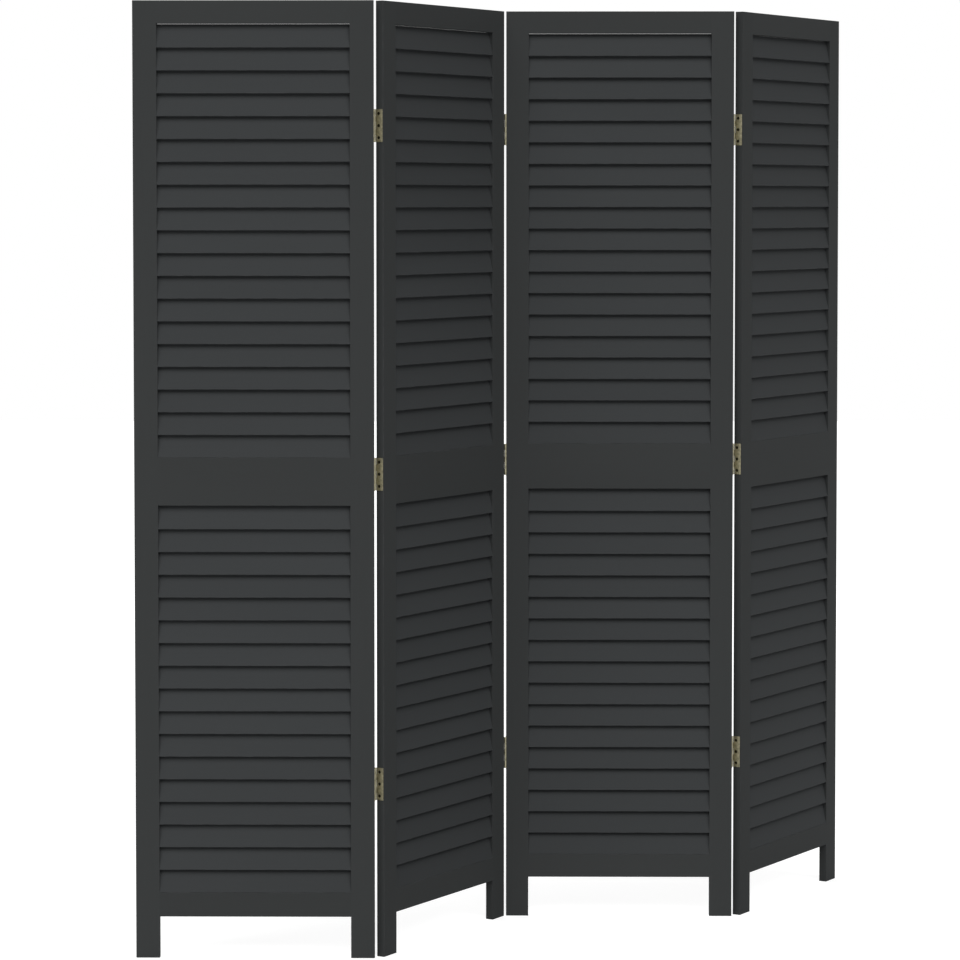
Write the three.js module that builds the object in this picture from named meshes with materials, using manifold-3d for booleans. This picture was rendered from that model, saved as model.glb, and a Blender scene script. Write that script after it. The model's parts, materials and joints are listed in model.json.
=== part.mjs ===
// A four-panel louvred folding screen, standing in its usual zigzag.
//
// Each panel is a painted wooden frame: two stiles whose lower ends are the feet,
// three rails tenoned between them, and two fields of fixed slanting slats.
// Neighbouring panels are joined by three brass butt hinges on their edges. The hinge
// pins lie behind the first joint, in front of the second and behind the third, so
// that the whole screen folds flat into a stack.
//
// Millimetres, Z up. X runs along the screen, Y points away from its front.

import * as THREE from 'three';
import { mergeVertices } from 'three/addons/utils/BufferGeometryUtils.js';
import Module from 'manifold-3d';

const wasm = await Module();
wasm.setup();

// ---- Driving dimensions -------------------------------------------------------

// One panel.
const PANEL_COUNT = 4;
const PANEL_HEIGHT = 1700;
const PANEL_WIDTH = 425;
const PANEL_THICKNESS = 15;

// The angle between neighbouring panels away from one flat line, in degrees.
const STANDING_FOLD = 60;

// The frame of a panel.
const STILE_WIDTH = 42;
const TOP_RAIL_HEIGHT = 41;
const MIDDLE_RAIL_HEIGHT = 85;
const BOTTOM_RAIL_HEIGHT = 43;
const FOOT_HEIGHT = 74;
const LOWER_FIELD_HEIGHT = 691;
const TENON_LENGTH = 22;
const TENON_THICKNESS = 6;
const TENON_SHOULDER = 8;

// The slats. The spacing is the wish; whole slats are fitted to each field.
const SLAT_WIDTH = 42.5;
const SLAT_THICKNESS = 5.5;
const SLAT_SPACING = 40.4;
const SLAT_SET_BACK = 0.4;
const TOP_SLIT = 0.65;

// The hidden strips that hold the ends of the slats, and their grooves in the stiles.
const GROOVE_WIDTH = 8;
const GROOVE_DEPTH = 4;
const STRIP_BITE = 0.5;

// The butt hinges.
const HINGE_HEIGHT = 58;
const LEAF_THICKNESS = 1.2;
const LEAF_MARGIN = 1;
const GAIN_DEPTH = 0.6;
const LEAF_SPACING = 0.6;
const KNUCKLE_COUNT = 5;
const KNUCKLE_WALL = 0.7;
const KNUCKLE_CLEARANCE = 0.6;
const PIN_RADIUS = 1.1;
const TOP_HINGE_DROP = 220;
const MIDDLE_HINGE_HEIGHT = 863;
const BOTTOM_HINGE_HEIGHT = 310;

// The screw holes of a hinge leaf.
const SCREW_COUNT = 3;
const SCREW_HOLE_RADIUS = 1.8;
const SCREW_END_MARGIN = 7.6;
const SCREW_ROW_OFFSET = 6;

// The play between two pieces that touch.
const PLAY = 0.3;

// Facets of round faces.
const KNUCKLE_SIDES = 12;
const BORE_SIDES = 8;
const HOLE_SIDES = 8;

// ---- Sizes worked out from them -----------------------------------------------

const openingWidth = PANEL_WIDTH - 2 * STILE_WIDTH;
const bottomRailTop = FOOT_HEIGHT + BOTTOM_RAIL_HEIGHT;
const middleRailBottom = bottomRailTop + LOWER_FIELD_HEIGHT;
const middleRailTop = middleRailBottom + MIDDLE_RAIL_HEIGHT;
const topRailBottom = PANEL_HEIGHT - TOP_RAIL_HEIGHT;

// The tilt at which a slat just fills the thickness of the panel.
const slatDiagonal = Math.hypot(SLAT_WIDTH, SLAT_THICKNESS);
const slatDepth = PANEL_THICKNESS - 2 * SLAT_SET_BACK;
const slatTilt = Math.asin(slatDepth / slatDiagonal) - Math.atan2(SLAT_THICKNESS, SLAT_WIDTH);

// How far a seated leaf stands out of its edge, and the gap between two edges.
const leafProud = LEAF_THICKNESS + PLAY - GAIN_DEPTH;
const edgeGap = 2 * leafProud + LEAF_SPACING;

// The barrel, and how far its axis lies outside the face of the panel.
const boreRadius = PIN_RADIUS + PLAY;
const knuckleRadius = boreRadius + KNUCKLE_WALL;
const cornerReach = knuckleRadius + KNUCKLE_CLEARANCE;
const pinStandOff = Math.sqrt(Math.max(0, cornerReach ** 2 - (edgeGap / 2 + GAIN_DEPTH) ** 2));
const knuckleLength = (HINGE_HEIGHT - (KNUCKLE_COUNT - 1) * PLAY) / KNUCKLE_COUNT;

const hinges = [
  { name: 'top', height: PANEL_HEIGHT - TOP_HINGE_DROP },
  { name: 'middle', height: MIDDLE_HINGE_HEIGHT },
  { name: 'bottom', height: BOTTOM_HINGE_HEIGHT },
];

// ---- Materials ----------------------------------------------------------------

const framePaint = new THREE.MeshStandardMaterial({ color: 0x3b3c3e, roughness: 0.5 });
const slatPaint = new THREE.MeshStandardMaterial({ color: 0x404143, roughness: 0.5 });
const agedBrass = new THREE.MeshStandardMaterial({ color: 0x84775a, roughness: 0.4, metalness: 1 });
const pinSteel = new THREE.MeshStandardMaterial({ color: 0x6b6250, roughness: 0.35, metalness: 1 });

// ---- Solids -------------------------------------------------------------------

function solidOf(geometry) {
  const bare = geometry.clone();
  bare.deleteAttribute('normal');
  bare.deleteAttribute('uv');
  const merged = mergeVertices(bare);
  const vertProperties = new Float32Array(merged.attributes.position.array);
  const triVerts = new Uint32Array(merged.index.array);
  return new wasm.Manifold(new wasm.Mesh({ numProp: 3, vertProperties, triVerts }));
}

function geometryOf(solid) {
  const mesh = solid.getMesh();
  const indexed = new THREE.BufferGeometry();
  indexed.setAttribute('position', new THREE.BufferAttribute(mesh.vertProperties, 3));
  indexed.setIndex(new THREE.BufferAttribute(mesh.triVerts, 1));
  const geometry = indexed.toNonIndexed();
  geometry.computeVertexNormals();
  return geometry;
}

// A block between two corners, each given as [x, y, z].
function block(low, high) {
  const size = high.map((value, axis) => value - low[axis]);
  const middle = high.map((value, axis) => (value + low[axis]) / 2);
  const geometry = new THREE.BoxGeometry(...size);
  geometry.translate(...middle);
  return solidOf(geometry);
}

// An upright round bar on the Z axis between two heights.
function uprightBar(radius, sides, low, high) {
  const geometry = new THREE.CylinderGeometry(radius, radius, high - low, sides);
  geometry.rotateX(Math.PI / 2);
  geometry.translate(0, 0, (low + high) / 2);
  return solidOf(geometry);
}

function joined(solids) {
  return solids.reduce((whole, next) => whole.add(next));
}

function cut(solid, tools) {
  return tools.reduce((rest, tool) => rest.subtract(tool), solid);
}

// ---- The frame of a panel -----------------------------------------------------

const rails = [
  { name: 'top_rail', bottom: topRailBottom, top: PANEL_HEIGHT },
  { name: 'middle_rail', bottom: middleRailBottom, top: middleRailTop },
  { name: 'bottom_rail', bottom: FOOT_HEIGHT, top: bottomRailTop },
];

const fields = [
  { name: 'upper_louvres', bottom: middleRailTop, top: topRailBottom },
  { name: 'lower_louvres', bottom: bottomRailTop, top: middleRailBottom },
];

// The space of a rail's tenons, from one stile to the other, grown by some play.
function tenonSpace(rail, play) {
  const halfThickness = TENON_THICKNESS / 2 + play;
  const reach = STILE_WIDTH - TENON_LENGTH - play;
  const low = [reach, PANEL_THICKNESS / 2 - halfThickness, rail.bottom + TENON_SHOULDER - play];
  const high = [
    PANEL_WIDTH - reach,
    PANEL_THICKNESS / 2 + halfThickness,
    rail.top - TENON_SHOULDER + play,
  ];
  return block(low, high);
}

// The space of the grooves of one field, from one stile to the other.
function grooveSpace(field) {
  const front = (PANEL_THICKNESS - GROOVE_WIDTH) / 2;
  const reach = STILE_WIDTH - GROOVE_DEPTH;
  return block(
    [reach, front, field.bottom],
    [PANEL_WIDTH - reach, PANEL_THICKNESS - front, field.top],
  );
}

// The shallow seat of one hinge leaf, cut into the edge of a left or right stile.
function hingeGain(hinge, side, behind) {
  const halfHeight = HINGE_HEIGHT / 2 + PLAY;
  const closedEnd = LEAF_MARGIN - PLAY;
  const openEnd = PANEL_THICKNESS + PLAY;
  const across = behind ? [closedEnd, openEnd] : [-PLAY, PANEL_THICKNESS - closedEnd];
  const along = side === 'left' ? [-PLAY, GAIN_DEPTH] : [PANEL_WIDTH - GAIN_DEPTH, PANEL_WIDTH + PLAY];
  return block(
    [along[0], across[0], hinge.height - halfHeight],
    [along[1], across[1], hinge.height + halfHeight],
  );
}

// A stile. Its joint is null on the free edges at the two ends of the screen.
function stile(side, joint) {
  const near = side === 'left' ? 0 : PANEL_WIDTH - STILE_WIDTH;
  const board = block([near, 0, 0], [near + STILE_WIDTH, PANEL_THICKNESS, PANEL_HEIGHT]);
  const mortises = rails.map((rail) => tenonSpace(rail, PLAY));
  const grooves = fields.map(grooveSpace);
  const gains = joint === null ? [] : hinges.map((hinge) => hingeGain(hinge, side, pinsBehind(joint)));
  return cut(board, [...mortises, ...grooves, ...gains]);
}

function railSolid(rail) {
  const left = STILE_WIDTH + PLAY;
  const board = block([left, 0, rail.bottom], [PANEL_WIDTH - left, PANEL_THICKNESS, rail.top]);
  return board.add(tenonSpace(rail, 0));
}

// ---- The louvres --------------------------------------------------------------

// A slat whose lower front edge lies at the given height. Its top leans back.
function slat(frontEdgeHeight) {
  const length = openingWidth - 2 * PLAY;
  const geometry = new THREE.BoxGeometry(length, SLAT_THICKNESS, SLAT_WIDTH);
  geometry.translate(0, SLAT_THICKNESS / 2, SLAT_WIDTH / 2);
  geometry.rotateX(-slatTilt);
  geometry.translate(PANEL_WIDTH / 2, SLAT_SET_BACK, frontEdgeHeight);
  return solidOf(geometry);
}

// The strip that holds the slat ends on one side, lying in the groove of the stile.
function endStrip(field, side) {
  const front = (PANEL_THICKNESS - GROOVE_WIDTH) / 2 + PLAY;
  const outer = STILE_WIDTH - GROOVE_DEPTH + PLAY;
  const inner = STILE_WIDTH + PLAY + STRIP_BITE;
  const along = side === 'left' ? [outer, inner] : [PANEL_WIDTH - inner, PANEL_WIDTH - outer];
  return block(
    [along[0], front, field.bottom + PLAY],
    [along[1], PANEL_THICKNESS - front, field.top - PLAY],
  );
}

function louvres(field) {
  const rise = SLAT_WIDTH * Math.cos(slatTilt);
  const lowest = field.bottom + PLAY;
  const travel = field.top - TOP_SLIT - rise - lowest;
  const steps = Math.max(1, Math.round(travel / SLAT_SPACING));
  const spacing = travel / steps;
  const slats = Array.from({ length: steps + 1 }, (_, step) => slat(lowest + step * spacing));
  const strips = ['left', 'right'].map((side) => endStrip(field, side));
  const underside = block([0, 0, field.bottom - SLAT_WIDTH], [PANEL_WIDTH, PANEL_THICKNESS, lowest]);
  return joined([...slats, ...strips]).subtract(underside);
}

// ---- The hinges ---------------------------------------------------------------
//
// A leaf is drawn for the edge on its left, with the pin behind: the pin is the Z
// axis, and the middle of the hinge is at height 0.

function knuckleSpan(index) {
  const low = -HINGE_HEIGHT / 2 + index * (knuckleLength + PLAY);
  return [low, low + knuckleLength];
}

function leaf(ownsKnuckle) {
  const plateBack = -(edgeGap / 2 + GAIN_DEPTH - PLAY);
  const plateFront = plateBack + LEAF_THICKNESS;
  const farEdge = -(pinStandOff + PANEL_THICKNESS - LEAF_MARGIN);
  const nearEdge = -(knuckleRadius + PLAY);
  const halfHeight = HINGE_HEIGHT / 2;
  const plate = block([plateBack, farEdge, -halfHeight], [plateFront, nearEdge, halfHeight]);
  const own = Array.from({ length: KNUCKLE_COUNT }, (_, index) => index).filter(ownsKnuckle);
  const knuckles = own.flatMap((index) => {
    const [low, high] = knuckleSpan(index);
    return [
      uprightBar(knuckleRadius, KNUCKLE_SIDES, low, high),
      block([plateBack, nearEdge - PLAY, low], [plateFront, 0, high]),
    ];
  });
  const bore = uprightBar(boreRadius, BORE_SIDES, -HINGE_HEIGHT, HINGE_HEIGHT);
  return cut(joined([plate, ...knuckles]), [bore, ...screwHoles(plateBack, plateFront)]);
}

function screwHoles(plateBack, plateFront) {
  const step = (HINGE_HEIGHT - 2 * SCREW_END_MARGIN) / (SCREW_COUNT - 1);
  const row = -(pinStandOff + SCREW_ROW_OFFSET);
  return Array.from({ length: SCREW_COUNT }, (_, index) => {
    const length = LEAF_THICKNESS + 2 * PLAY;
    const geometry = new THREE.CylinderGeometry(SCREW_HOLE_RADIUS, SCREW_HOLE_RADIUS, length, HOLE_SIDES);
    geometry.rotateZ(Math.PI / 2);
    geometry.translate((plateBack + plateFront) / 2, row, index * step - HINGE_HEIGHT / 2 + SCREW_END_MARGIN);
    return solidOf(geometry);
  });
}

function pin() {
  const geometry = new THREE.CylinderGeometry(PIN_RADIUS, PIN_RADIUS, HINGE_HEIGHT, BORE_SIDES);
  geometry.rotateX(Math.PI / 2);
  return geometry;
}

// ---- Where the panels stand ---------------------------------------------------

// Joint n lies between panel n and panel n + 1. Odd joints have their pins behind.
function pinsBehind(joint) {
  return joint % 2 === 1;
}

function pinDepth(joint) {
  return pinsBehind(joint) ? PANEL_THICKNESS + pinStandOff : -pinStandOff;
}

function panelTurn(panel) {
  return panel % 2 === 0 ? THREE.MathUtils.degToRad(STANDING_FOLD) : 0;
}

// The pin line of a joint, seen from the panel on its left or on its right.
function pinPlace(joint, edge) {
  const along = edge === 'right' ? PANEL_WIDTH + edgeGap / 2 : -edgeGap / 2;
  return new THREE.Vector3(along, pinDepth(joint), 0);
}

function placePanels(panels) {
  const up = new THREE.Vector3(0, 0, 1);
  panels.forEach((group, index) => {
    const number = index + 1;
    group.rotation.z = panelTurn(number);
    if (index === 0) return;
    const previous = panels[index - 1];
    const joint = index;
    const line = pinPlace(joint, 'right').applyAxisAngle(up, previous.rotation.z).add(previous.position);
    const offset = pinPlace(joint, 'left').applyAxisAngle(up, group.rotation.z);
    group.position.copy(line.sub(offset));
  });
}

// ---- Assembly -----------------------------------------------------------------

function addMesh(group, name, geometry, material) {
  const mesh = new THREE.Mesh(geometry, material);
  mesh.name = name;
  group.add(mesh);
  return mesh;
}

function buildPanel(number) {
  const group = new THREE.Group();
  const label = `panel_${number}`;
  const leftJoint = number === 1 ? null : number - 1;
  const rightJoint = number === PANEL_COUNT ? null : number;
  addMesh(group, `${label}_left_stile`, geometryOf(stile('left', leftJoint)), framePaint);
  addMesh(group, `${label}_right_stile`, geometryOf(stile('right', rightJoint)), framePaint);
  rails.forEach((rail) => addMesh(group, `${label}_${rail.name}`, geometryOf(railSolid(rail)), framePaint));
  fields.forEach((field) => addMesh(group, `${label}_${field.name}`, geometryOf(louvres(field)), slatPaint));
  return group;
}

// Turning a leaf half round about one axis fits it to the other edge or to the other
// face, because both leaves are alike above and below their middle.
function addHinge(panels, joint, hinge, leaves) {
  const label = `hinge_${joint}_${joint + 1}_${hinge.name}`;
  const leftPanel = panels[joint - 1];
  const rightPanel = panels[joint];
  const leftPlace = pinPlace(joint, 'right').setZ(hinge.height);
  const rightPlace = pinPlace(joint, 'left').setZ(hinge.height);
  const leftLeaf = addMesh(leftPanel, `${label}_left_leaf`, leaves.threeKnuckle, agedBrass);
  const rightLeaf = addMesh(rightPanel, `${label}_right_leaf`, leaves.twoKnuckle, agedBrass);
  const pinMesh = addMesh(leftPanel, `${label}_pin`, leaves.pin, pinSteel);
  leftLeaf.position.copy(leftPlace);
  rightLeaf.position.copy(rightPlace);
  pinMesh.position.copy(leftPlace);
  leftLeaf.rotation.x = pinsBehind(joint) ? 0 : Math.PI;
  rightLeaf.rotation.y = pinsBehind(joint) ? Math.PI : 0;
  rightLeaf.rotation.z = pinsBehind(joint) ? 0 : Math.PI;
}

function buildScreen() {
  const screen = new THREE.Group();
  const panels = Array.from({ length: PANEL_COUNT }, (_, index) => buildPanel(index + 1));
  placePanels(panels);
  panels.forEach((panel) => screen.add(panel));
  const leaves = {
    threeKnuckle: geometryOf(leaf((index) => index % 2 === 0)),
    twoKnuckle: geometryOf(leaf((index) => index % 2 === 1)),
    pin: pin(),
  };
  for (let joint = 1; joint < PANEL_COUNT; joint += 1) {
    hinges.forEach((hinge) => addHinge(panels, joint, hinge, leaves));
  }
  return screen;
}

// The origin lies on the floor, under the middle of the standing screen.
function centreOnFloor(screen) {
  const bounds = new THREE.Box3().setFromObject(screen, true);
  const middle = bounds.getCenter(new THREE.Vector3());
  screen.position.set(-middle.x, -middle.y, -bounds.min.z);
  screen.updateMatrixWorld(true);
  return screen;
}

export default centreOnFloor(buildScreen());
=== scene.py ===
# %% [markdown]
# # A louvred folding screen in charcoal paint
#
# The object is a room divider of four narrow panels. Each panel is a frame of two
# stiles and three rails, filled with fixed slanting slats, and brass butt hinges join
# the panels into a zigzag. The shapes that fit and move were drawn first, as plain
# solids. This lesson loads those solids as a fixed frame and dresses them: boards with
# eased edges, slats with rounded edges, hinges with rolled knuckles and countersunk
# screws, and a satin paint that still shows a little of the wood below it.
#
# The frame is loaded before anything else, because every size and place below is
# measured on it.

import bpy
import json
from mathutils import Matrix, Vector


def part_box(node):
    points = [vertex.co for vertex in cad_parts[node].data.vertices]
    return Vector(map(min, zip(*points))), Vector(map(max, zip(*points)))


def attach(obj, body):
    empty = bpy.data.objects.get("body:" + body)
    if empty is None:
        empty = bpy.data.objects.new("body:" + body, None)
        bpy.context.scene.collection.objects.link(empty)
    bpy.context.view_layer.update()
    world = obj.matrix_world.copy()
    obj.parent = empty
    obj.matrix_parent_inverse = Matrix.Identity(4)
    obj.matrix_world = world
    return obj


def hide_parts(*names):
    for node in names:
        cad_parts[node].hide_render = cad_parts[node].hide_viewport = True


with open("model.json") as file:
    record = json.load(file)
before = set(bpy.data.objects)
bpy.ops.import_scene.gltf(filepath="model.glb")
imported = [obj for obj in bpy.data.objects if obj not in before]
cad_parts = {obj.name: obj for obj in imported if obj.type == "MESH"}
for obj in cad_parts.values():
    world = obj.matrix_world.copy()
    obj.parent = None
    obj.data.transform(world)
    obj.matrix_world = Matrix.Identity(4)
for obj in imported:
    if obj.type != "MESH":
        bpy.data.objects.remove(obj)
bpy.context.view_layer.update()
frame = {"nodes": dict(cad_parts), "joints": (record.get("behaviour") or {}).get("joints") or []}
print("plain solids:", len(frame["nodes"]))

# %% Bring in Blender's modules
import json
import math
import random

import bmesh
import bpy
from bmesh.types import BMEdge, BMFace, BMVert
from mathutils import Matrix, Vector

scene = bpy.context.scene

# %% [markdown]
# ## Measuring the frame
#
# A joiner would measure one panel with a rule and take the rest from it, because all
# four panels are alike. The same is done here: one stile gives the width and thickness
# of the boards, and the rails give the heights of the two fields of slats. Typing the
# numbers again would work too, but measured values stay right if the frame changes.

# %% Sizes of one panel
MM = 0.001
TOUCH = 0.02 * MM
WELD = 0.001 * MM
QUARTER_TURN = math.radians(90)
HALF_TURN = math.radians(180)
PANELS = (1, 2, 3, 4)
SIDES = ("left", "right")
RAILS = ("top", "middle", "bottom")


def size_of(node):
    low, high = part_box(node)
    return high - low


STILE_WIDTH, THICKNESS, HEIGHT = size_of("panel_1_left_stile")
PANEL_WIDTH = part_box("panel_1_right_stile")[1].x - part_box("panel_1_left_stile")[0].x
rail_spans = {}
for rail in RAILS:
    rail_low, rail_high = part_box(f"panel_1_{rail}_rail")
    rail_spans[rail] = (rail_low.z, rail_high.z)
field_spans = {
    "upper": (rail_spans["middle"][1], rail_spans["top"][0]),
    "lower": (rail_spans["bottom"][1], rail_spans["middle"][0]),
}
print("one panel, in millimetres:", round(PANEL_WIDTH / MM, 1), "x", round(HEIGHT / MM, 1))
print("thickness of the boards:", round(THICKNESS / MM, 1))

# %% [markdown]
# Every panel is modelled in its own directions: X along its width from the outer edge
# of the left stile, Y from its front face to its back, Z up. A matrix for each panel
# then carries its pieces to where the panel stands. At rest each joint is folded by
# the angle that its range leaves below zero, so the second and fourth panels are
# turned by that angle.

# %% Where the panels stand
FOLD = -math.radians(frame["joints"][0]["range_deg"][0])


def turn_of(panel):
    return FOLD if panel % 2 == 0 else 0.0


def panel_place(panel):
    low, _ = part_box(f"panel_{panel}_left_stile")
    corner = Vector((low.x + THICKNESS * math.sin(turn_of(panel)), low.y, low.z))
    return Matrix.Translation(corner) @ Matrix.Rotation(turn_of(panel), 4, "Z")


places = {panel: panel_place(panel) for panel in PANELS}
for panel in PANELS:
    print("panel", panel, "turned", round(math.degrees(turn_of(panel))), "degrees")

# %% [markdown]
# ## The camera
#
# A tall object is photographed from some way off with a long lens, about level with
# its middle, so that its verticals stay upright. The camera here was fitted to the
# edges of the panels in the photograph: it looks down by less than three degrees, and
# a small lens shift does the rest of the framing.

# %% Camera
CAMERA_PLACE = (0.0205, -6.658, 1.3492)
CAMERA_PITCH_DOWN = math.radians(2.7335)
CAMERA_YAW_LEFT = math.radians(0.5828)
LENS_LENGTH = 133.39
SENSOR_WIDTH = 36.0
LENS_SHIFT = -0.115

camera_data = bpy.data.cameras.new("camera")
camera_data.lens = LENS_LENGTH
camera_data.sensor_width = SENSOR_WIDTH
camera_data.shift_y = LENS_SHIFT
camera = bpy.data.objects.new("camera", camera_data)
camera.location = CAMERA_PLACE
camera.rotation_euler = (QUARTER_TURN - CAMERA_PITCH_DOWN, 0, CAMERA_YAW_LEFT)
scene.collection.objects.link(camera)
scene.camera = camera
print("camera distance in metres:", round(camera.location.length, 2))

# %% [markdown]
# ## Helpers for shader nodes
#
# A material is a small network of nodes. Adding a node takes three steps: make it, set
# its options, fill its inputs. One helper does all three. An input is given either a
# value or the output of another node, and an output means a link.


# %% A helper that adds a node
def add_node(tree, kind, inputs=None, **options):
    made = tree.nodes.new(kind)
    for name, value in options.items():
        setattr(made, name, value)
    for key, value in (inputs or {}).items():
        if isinstance(value, bpy.types.NodeSocket):
            tree.links.new(value, made.inputs[key])
        else:
            made.inputs[key].default_value = value
    return made


def arithmetic(tree, operation, first, second):
    """One Math node. Each operand is a number or an output."""
    node = add_node(tree, "ShaderNodeMath", {0: first, 1: second}, operation=operation)
    return node.outputs[0]


def new_group(name, inputs, outputs):
    """An empty shader group with its sockets, and its input and output nodes."""
    tree = bpy.data.node_groups.new(name, "ShaderNodeTree")
    for label, kind in inputs.items():
        tree.interface.new_socket(label, in_out="INPUT", socket_type=kind)
    for label, kind in outputs.items():
        tree.interface.new_socket(label, in_out="OUTPUT", socket_type=kind)
    return tree, add_node(tree, "NodeGroupInput"), add_node(tree, "NodeGroupOutput")


def stretched_noise(tree, vector, stretch, scale, detail):
    """Noise drawn out along the first axis of the vector. Its value runs from 0 to 1."""
    squeezed = add_node(
        tree, "ShaderNodeVectorMath", {0: vector, 1: (1 / stretch, 1, 1)}, operation="MULTIPLY"
    )
    noise = {"Vector": squeezed.outputs[0], "Scale": scale, "Detail": detail}
    return add_node(tree, "ShaderNodeTexNoise", noise).outputs["Fac"]


# %% [markdown]
# ## Paint over wood
#
# The screen is sprayed with one satin charcoal paint. Seen close, such a film isn't
# even: the grain of the wood shows through as long shallow ridges, the film itself has
# a fine orange peel, and the tone drifts a little from place to place. All three are
# noise, drawn out along the board for the grain. They live in one group, because the
# frame and the slats share them with different strengths.

# %% The group for the paint film
GRAIN_PER_METRE = 340
GRAIN_STRETCH = 40
PEEL_PER_METRE = 800
DRIFT_PER_METRE = 3.5
DRIFT_STRETCH = 3
GRAIN_IN_SHADE = 0.35
NOISE_MIDDLE = 0.5


def make_paint_film():
    tree, given, result = new_group(
        "paint film over wood",
        {"Vector": "NodeSocketVector", "Grain": "NodeSocketFloat", "Peel": "NodeSocketFloat"},
        {"Shade": "NodeSocketFloat", "Gloss": "NodeSocketFloat", "Height": "NodeSocketFloat"},
    )
    vector = given.outputs["Vector"]
    grain = stretched_noise(tree, vector, GRAIN_STRETCH, GRAIN_PER_METRE, detail=3)
    peel = stretched_noise(tree, vector, 1, PEEL_PER_METRE, detail=1)
    drift = stretched_noise(tree, vector, DRIFT_STRETCH, DRIFT_PER_METRE, detail=2)
    grain_height = arithmetic(tree, "MULTIPLY", grain, given.outputs["Grain"])
    peel_height = arithmetic(tree, "MULTIPLY", peel, given.outputs["Peel"])
    height = arithmetic(tree, "ADD", grain_height, peel_height)
    streaks = arithmetic(tree, "MULTIPLY", grain, GRAIN_IN_SHADE)
    shade = arithmetic(tree, "ADD", streaks, drift)
    shade_middle = NOISE_MIDDLE * (1 + GRAIN_IN_SHADE)
    tree.links.new(arithmetic(tree, "SUBTRACT", shade, shade_middle), result.inputs["Shade"])
    tree.links.new(arithmetic(tree, "SUBTRACT", drift, NOISE_MIDDLE), result.inputs["Gloss"])
    tree.links.new(height, result.inputs["Height"])
    return tree


paint_film = make_paint_film()
print("group:", paint_film.name)

# %% [markdown]
# ## Rubbed edges
#
# Hands and the floor rub an edge first. The modelling below marks the faces of each
# eased edge with the value `eased`, so the material needs no guess at where the edges
# are. A group breaks that mark up with noise, because wear is never one even line.
# Paint and brass both use it, each with its own scale and amount.

# %% The group for rubbed edges
EASED = "eased"
RUB_STARTS_AT = 0.42
RUB_IS_FULL_AT = 0.66


def make_edge_rub():
    tree, given, result = new_group(
        "rubbed edge",
        {"Vector": "NodeSocketVector", "Scale": "NodeSocketFloat", "Amount": "NodeSocketFloat"},
        {"Mask": "NodeSocketFloat"},
    )
    mark = add_node(tree, "ShaderNodeAttribute", attribute_name=EASED).outputs["Fac"]
    noise_inputs = {
        "Vector": given.outputs["Vector"],
        "Scale": given.outputs["Scale"],
        "Detail": 4,
    }
    patches = add_node(tree, "ShaderNodeTexNoise", noise_inputs).outputs["Fac"]
    worn = add_node(
        tree,
        "ShaderNodeMapRange",
        {"Value": patches, "From Min": RUB_STARTS_AT, "From Max": RUB_IS_FULL_AT},
        interpolation_type="SMOOTHSTEP",
    ).outputs[0]
    worn_edges = arithmetic(tree, "MULTIPLY", mark, worn)
    mask = arithmetic(tree, "MULTIPLY", worn_edges, given.outputs["Amount"])
    tree.links.new(mask, result.inputs["Mask"])
    return tree


edge_rub = make_edge_rub()
print("group:", edge_rub.name)

# %% [markdown]
# ## The painted finishes
#
# A pattern that runs along a board needs coordinates that run along it too. Object
# coordinates follow the room, so a Mapping node turns them: by the fold for the panels
# that stand at an angle, and upright for the stiles, whose grain runs from floor to
# top. Each board also carries a number called `tone`, different for every board. It
# shifts the pattern, so that no two boards have the same grain, and it moves the
# brightness by a percent or two, as pieces of one batch differ.
#
# This paint is a dull satin with hardly any gloss, so the specular level is very low and
# the roughness is a little over one half. With more gloss the panels that stand at an
# angle would take on a pale sheen from the white room.

# %% Painted wood
TONE = "tone"
FRAME_PAINT = (0.0402, 0.0424, 0.0426)
# The slat paint is the frame paint made a little lighter and bluer: a painted sheen for the light
# that the slats catch.
SLAT_PAINT_WITH_PAINTED_SHEEN = (0.0415, 0.0440, 0.0453)
RUBBED_PAINT = (0.105, 0.108, 0.112)
SHADE_STRENGTH = 0.16
TONE_STRENGTH = 0.02
TONE_OFFSET = 7.3
FRAME_GRAIN = 0.8
SLAT_GRAIN = 0.5
PEEL_HEIGHT = 0.35
FILM_BUMP = 0.6
FILM_DEPTH = 0.15 * MM
PAINT_RUB_PER_METRE = 45
PAINT_RUB_AMOUNT = 0.3
PAINT_ROUGHNESS = 0.6
GLOSS_STRENGTH = 0.25
PAINT_SPECULAR = 0.015


def shaded_paint(tree, colour, shade, tone):
    """The paint's colour, lighter or darker by a few percent from place to place."""
    drift = arithmetic(tree, "MULTIPLY", shade, SHADE_STRENGTH)
    batch = arithmetic(tree, "MULTIPLY", tone, TONE_STRENGTH)
    factor = arithmetic(tree, "ADD", arithmetic(tree, "ADD", drift, batch), 1.0)
    scaled = add_node(
        tree, "ShaderNodeVectorMath", {0: colour, "Scale": factor}, operation="SCALE"
    )
    return scaled.outputs[0]


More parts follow.
